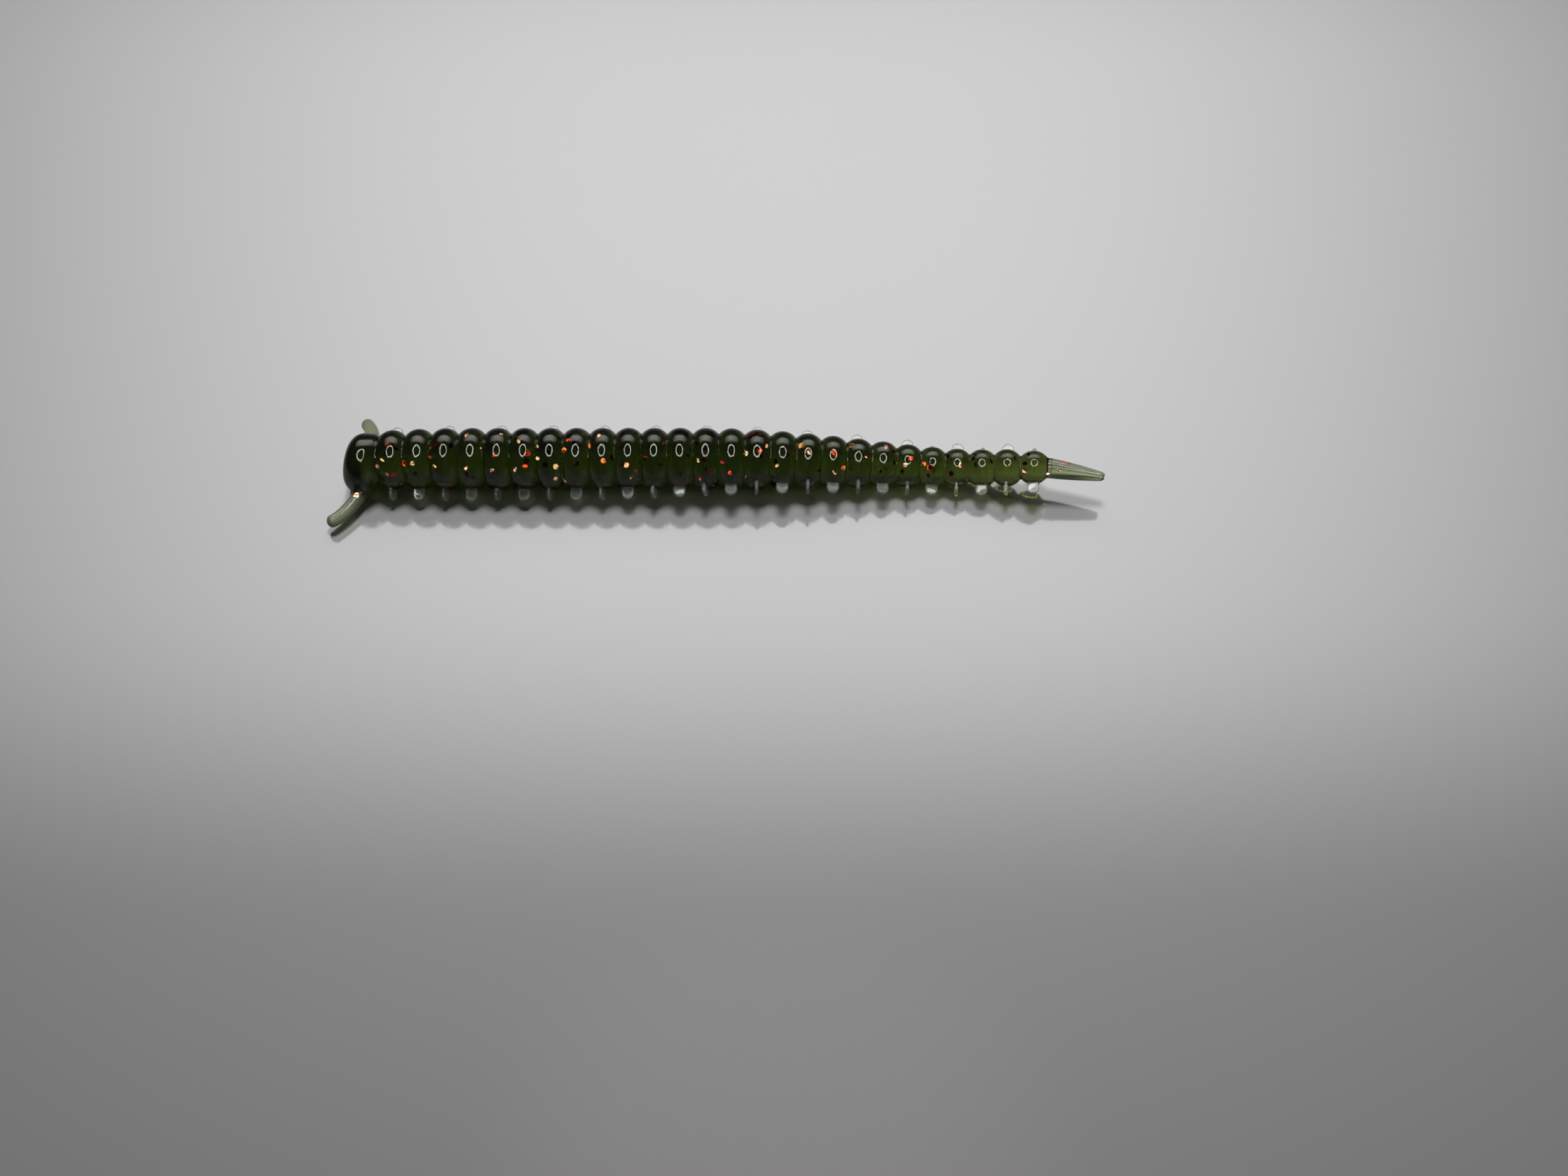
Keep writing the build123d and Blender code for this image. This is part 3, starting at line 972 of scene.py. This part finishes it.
# ---- table, lights and camera, in metres unless a name says otherwise ----
TABLE_HALF_SIZE = 3.0
TABLE_GAP = 0.005            # mm, between the belly and the table
TABLE_ROUGHNESS = 0.1
TABLE_IOR = 1.8
TABLE_PAINTED_POOL_CENTRE = (0.044, 0.02)      # centre of a painted pool of light: the table's colour darkens away from here
TABLE_PAINTED_POOL_RADIUS = 0.2
# The two tones of the painted pool of light on the table: bright inside it, painted shade outside it.
TABLE_PAINTED_POOL_TONE = (0.265, 0.262, 0.264)
TABLE_PAINTED_DARK_TONE = (0.07, 0.07, 0.07)

LAMP_DISTANCE = 1.0          # of each lamp from the worm's middle
RING_LAMP_INNER_DEG = 19.5
RING_LAMP_OUTER_DEG = 24.5
RING_LAMP_COLOR = (1.0, 0.985, 0.96)
RING_LAMP_STRENGTH = 12.0
HIGH_LAMP_DEG = 108          # up from the worm's left side, so it is behind the worm
HIGH_LAMP_RADIUS = 0.14
HIGH_LAMP_STRENGTH = 58.0
SOFTBOX_HALF = (0.85, 0.35)
SOFTBOX_BRIGHT_SHARES = (0.1, 0.4)   # its light fades outside this share of its width and height
SOFTBOX_ELEVATION_DEG = 44.5
SOFTBOX_COLOR = (1.0, 0.99, 0.985)
SOFTBOX_STRENGTH = 3.2
ROOM_COLOR = (0.055, 0.05, 0.058)

CAMERA_TILT_DEG = 52.4       # down from the horizontal
CAMERA_DISTANCE = 0.216
CAMERA_SHIFT = 0.0129        # down its own picture, which puts the worm above the middle
CAMERA_LENS_MM = 49.5


def make_table():
    mesh = bpy.data.meshes.new("table_top")
    size = TABLE_HALF_SIZE
    corners = [(-size, -size), (size, -size), (size, size), (-size, size)]
    height = table_z - TABLE_GAP * MM
    mesh.from_pydata([(x, y, height) for x, y in corners], [], [(0, 1, 2, 3)])
    table = bpy.data.objects.new("table_top", mesh)
    bpy.context.scene.collection.objects.link(table)
    material = bpy.data.materials.new("pale_laminate")
    material.use_nodes = True
    tree = material.node_tree
    surface_node = tree.nodes["Principled BSDF"]
    surface_node.inputs["Roughness"].default_value = TABLE_ROUGHNESS
    surface_node.inputs["IOR"].default_value = TABLE_IOR
    place = tree.nodes.new("ShaderNodeTexCoord")
    offset = tree.nodes.new("ShaderNodeVectorMath")
    offset.operation = "SUBTRACT"
    offset.inputs[1].default_value = (*TABLE_PAINTED_POOL_CENTRE, table_z)
    length = tree.nodes.new("ShaderNodeVectorMath")
    length.operation = "LENGTH"
    fade = tree.nodes.new("ShaderNodeMapRange")
    fade.interpolation_type = "SMOOTHSTEP"
    fade.inputs["From Min"].default_value = 0.0
    fade.inputs["From Max"].default_value = TABLE_PAINTED_POOL_RADIUS
    # Painted light: the table's base colour is bright near the centre and darker further out, a
    # painted pool of light standing in for the lamps' falloff.
    painted_pool_tone = tree.nodes.new("ShaderNodeMix")
    painted_pool_tone.data_type = "RGBA"
    painted_pool_tone.inputs["A"].default_value = (*TABLE_PAINTED_POOL_TONE, 1)
    painted_pool_tone.inputs["B"].default_value = (*TABLE_PAINTED_DARK_TONE, 1)
    link_nodes(
        tree,
        (place.outputs["Object"], offset.inputs[0]),
        (offset.outputs["Vector"], length.inputs[0]),
        (length.outputs["Value"], fade.inputs["Value"]),
        (fade.outputs["Result"], painted_pool_tone.inputs["Factor"]),
        (painted_pool_tone.outputs["Result"], surface_node.inputs["Base Color"]),
    )
    mesh.materials.append(material)


def aim(thing, target):
    away = thing.location - target
    thing.rotation_euler = away.to_track_quat("Z", "Y").to_euler()


def glow(name, color, strength):
    """Material of a lamp, and its emission node."""
    material = bpy.data.materials.new(name)
    material.use_nodes = True
    tree = material.node_tree
    tree.nodes.clear()
    output = tree.nodes.new("ShaderNodeOutputMaterial")
    emission = tree.nodes.new("ShaderNodeEmission")
    emission.inputs["Color"].default_value = (*color, 1)
    emission.inputs["Strength"].default_value = strength
    tree.links.new(emission.outputs["Emission"], output.inputs["Surface"])
    return material, emission


def make_ring_lamp(middle):
    """A thin bright ring over the worm, like a ring of small lamps. It lights the worm only."""
    inner = LAMP_DISTANCE * math.tan(math.radians(RING_LAMP_INNER_DEG))
    outer = LAMP_DISTANCE * math.tan(math.radians(RING_LAMP_OUTER_DEG))
    count = 64
    bm = bmesh.new()
    loops = []
    for radius in (inner, outer):
        loop = []
        for step in range(count):
            turn = 2 * math.pi * step / count
            loop.append(bm.verts.new((radius * math.cos(turn), radius * math.sin(turn), 0)))
        loops.append(loop)
    for i in range(count):
        j = (i + 1) % count
        bm.faces.new((loops[0][i], loops[1][i], loops[1][j], loops[0][j]))
    material, _ = glow("ring_lamp_glow", RING_LAMP_COLOR, RING_LAMP_STRENGTH)
    lamp = link("ring_lamp", bm, material)
    lamp.location = middle + left_side(GLINT_LIGHT_DEG) * LAMP_DISTANCE
    aim(lamp, middle)
    lamp.visible_camera = False
    lamp.visible_diffuse = False
    lit = bpy.data.collections.new("lit_by_the_ring_lamp")
    for piece in bpy.data.objects:
        if piece.type == "MESH" and piece.name.startswith(("skin_", "side_fins_", "glitter_")):
            lit.objects.link(piece)
    lamp.light_linking.receiver_collection = lit


def make_high_lamp(middle):
    """A soft lamp high behind the worm, which lights the table and isn't mirrored."""
    bm = bmesh.new()
    bmesh.ops.create_circle(bm, cap_ends=True, segments=48, radius=HIGH_LAMP_RADIUS)
    material, _ = glow("high_lamp_glow", (1, 1, 1), HIGH_LAMP_STRENGTH)
    lamp = link("high_lamp", bm, material)
    lamp.location = middle + left_side(HIGH_LAMP_DEG) * LAMP_DISTANCE
    aim(lamp, middle)
    lamp.visible_camera = False
    lamp.visible_glossy = False
    lamp.visible_transmission = False


def make_softbox(middle):
    """A large lamp behind the worm whose light fades towards its edges."""
    half_width, half_height = SOFTBOX_HALF
    bm = bmesh.new()
    corners = [(-1, -1), (1, -1), (1, 1), (-1, 1)]
    bm.faces.new([bm.verts.new((x * half_width, y * half_height, 0)) for x, y in corners])
    material, emission = glow("softbox_glow", SOFTBOX_COLOR, SOFTBOX_STRENGTH)
    tree = material.node_tree
    place = tree.nodes.new("ShaderNodeTexCoord")
    axes = tree.nodes.new("ShaderNodeSeparateXYZ")
    tree.links.new(place.outputs["Object"], axes.inputs["Vector"])
    level = tree.nodes.new("ShaderNodeMath")
    level.operation = "MULTIPLY"
    for number, axis in enumerate("XY"):
        half = SOFTBOX_HALF[number]
        size = tree.nodes.new("ShaderNodeMath")
        size.operation = "ABSOLUTE"
        fade = tree.nodes.new("ShaderNodeMapRange")
        fade.interpolation_type = "SMOOTHSTEP"
        fade.inputs["From Min"].default_value = half * SOFTBOX_BRIGHT_SHARES[number]
        fade.inputs["From Max"].default_value = half
        fade.inputs["To Min"].default_value = 1.0
        fade.inputs["To Max"].default_value = 0.0
        link_nodes(
            tree,
            (axes.outputs[axis], size.inputs[0]),
            (size.outputs["Value"], fade.inputs["Value"]),
            (fade.outputs["Result"], level.inputs[number]),
        )
    strength = tree.nodes.new("ShaderNodeMath")
    strength.operation = "MULTIPLY"
    strength.inputs[1].default_value = SOFTBOX_STRENGTH
    link_nodes(
        tree,
        (level.outputs["Value"], strength.inputs[0]),
        (strength.outputs["Value"], emission.inputs["Strength"]),
    )
    lamp = link("back_softbox", bm, material)
    elevation = math.radians(SOFTBOX_ELEVATION_DEG)
    back = Vector((0, math.cos(elevation), math.sin(elevation)))
    lamp.location = middle + back * LAMP_DISTANCE
    aim(lamp, middle)
    lamp.visible_camera = False


def make_world():
    world = bpy.data.worlds.new("room")
    bpy.context.scene.world = world
    world.use_nodes = True
    background = world.node_tree.nodes["Background"]
    background.inputs["Color"].default_value = (*ROOM_COLOR, 1)
    background.inputs["Strength"].default_value = 1.0


def make_camera():
    """Looks down at the worm's left side, with the worm a little above the middle of the view."""
    tilt = math.radians(CAMERA_TILT_DEG)
    ahead = Vector((0, math.cos(tilt), -math.sin(tilt)))
    up = Vector((0, math.sin(tilt), math.cos(tilt)))
    aimed_at = mm(44.1, 0, 0.19)
    camera = bpy.data.cameras.new("camera")
    camera.sensor_width = 36.0
    camera.lens = CAMERA_LENS_MM
    camera.clip_start = 0.002
    holder = bpy.data.objects.new("camera", camera)
    holder.location = aimed_at - ahead * CAMERA_DISTANCE - up * CAMERA_SHIFT
    holder.rotation_euler = (math.pi / 2 - tilt, 0, 0)
    bpy.context.scene.collection.objects.link(holder)
    bpy.context.scene.camera = holder


def make_light():
    middle = mm(40, 0, 0)
    make_ring_lamp(middle)
    make_high_lamp(middle)
    make_softbox(middle)


make_skin()
make_fins()
make_glitter()
make_table()
make_light()
make_world()
make_camera()

scene = bpy.context.scene
scene.cycles.max_bounces = 24
scene.cycles.transmission_bounces = 24
scene.cycles.transparent_max_bounces = 32
scene.cycles.sample_clamp_indirect = 3.0
scene.view_settings.view_transform = "Standard"
